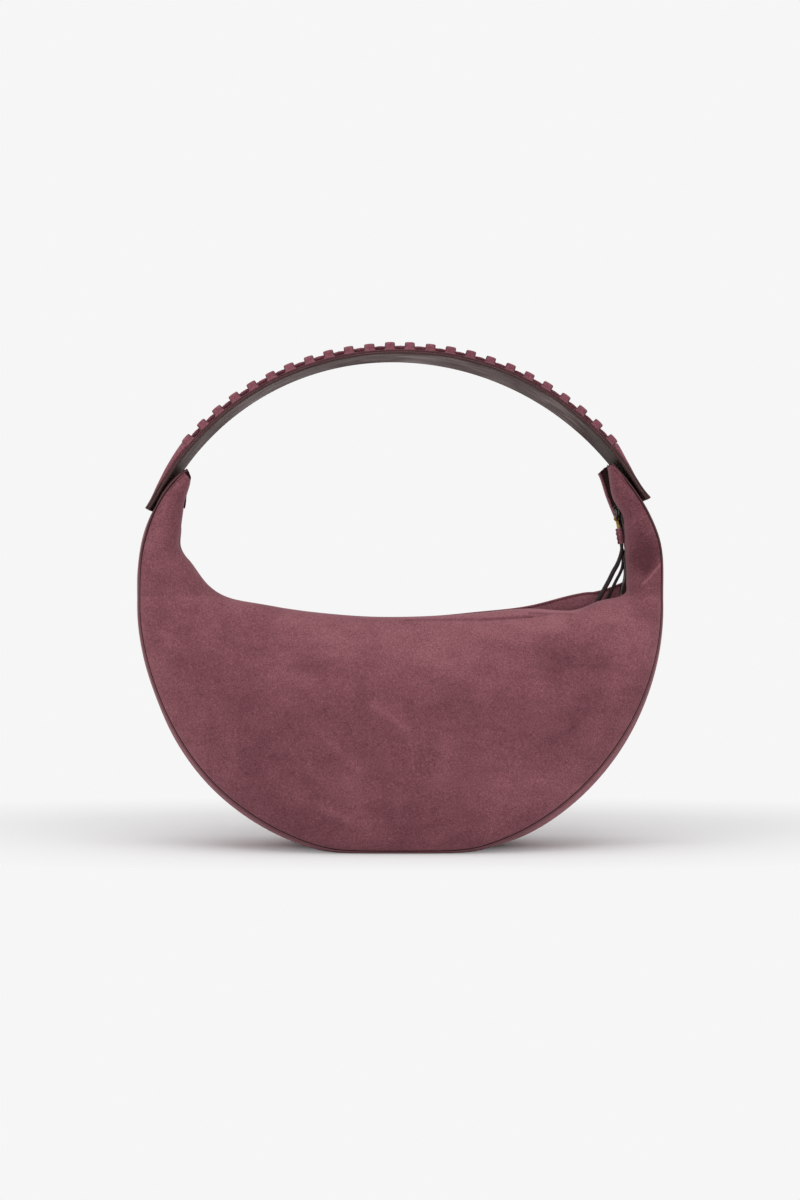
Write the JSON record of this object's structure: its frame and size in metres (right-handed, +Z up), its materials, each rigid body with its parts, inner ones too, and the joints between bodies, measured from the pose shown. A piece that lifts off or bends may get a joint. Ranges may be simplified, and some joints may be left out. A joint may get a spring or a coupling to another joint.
{
  "type": "half moon shoulder bag",
  "caption": "Crescent suede shoulder bag whose wide handle, woven with a lace under raised bridges, closes the circle; zipped mouth.",
  "frame": {"origin": "middle of the base, on the surface that the bag stands on", "axes": "+X along the bag to the right as seen from the front, +Y to the back, +Z up"},
  "size_m": [0.3978, 0.0946, 0.3807],
  "materials": {
    "suede": "mauve suede with a brushed nap",
    "edge_leather": "dark brown edge leather, satin",
    "strap_leather": "smooth taupe brown leather",
    "strand_leather": "waxed dark brown leather lace",
    "lining_cloth": "plain woven cotton",
    "zip_tape": "herringbone zip tape",
    "dark_metal": "dark gunmetal plating",
    "aged_brass": "aged brass"
  },
  "bodies": {
    "bag": {"front_panel": "suede", "back_panel": "suede", "gusset": "suede", "front_welt": "edge_leather", "back_welt": "edge_leather", "front_facing": "suede", "back_facing": "suede", "front_lining": "lining_cloth", "back_lining": "lining_cloth", "gusset_lining": "lining_cloth", "slip_pocket": "lining_cloth", "front_zip_tape": "zip_tape", "back_zip_tape": "zip_tape", "front_zip_chain": "dark_metal", "back_zip_chain": "dark_metal", "top_stops": "dark_metal", "bottom_stop": "dark_metal", "left_tip_tab": "edge_leather", "right_tip_tab": "edge_leather", "strap_outer": "suede", "strap_core": "lining_cloth", "strap_lining": "strap_leather", "strap_lace": "suede", "strap_bridges": "suede", "left_strap_flap": "suede", "right_strap_flap": "suede"},
    "zip_slider": {"slider": "dark_metal"},
    "pull_link": {"pull_ring": "dark_metal"},
    "tassel": {"pull_bar": "aged_brass", "pull_collar": "suede", "front_strand": "strand_leather", "back_strand": "strand_leather"}
  },
  "joints": [
    {"name": "zip_slide", "type": "slide", "parent": "bag", "child": "zip_slider", "axis": [-0.225, 0, 0.9744], "range_m": [0, 0.018]},
    {"name": "ring_swing", "type": "hinge", "parent": "zip_slider", "child": "pull_link", "pos_m": [0.16386, 0, 0.256], "axis": [0, 1, 0], "range_deg": [0, 90]},
    {"name": "tassel_swing", "type": "hinge", "parent": "pull_link", "child": "tassel", "pos_m": [0.16455, 0, 0.24893], "axis": [0, 1, 0], "range_deg": [0, 40]}
  ]
}
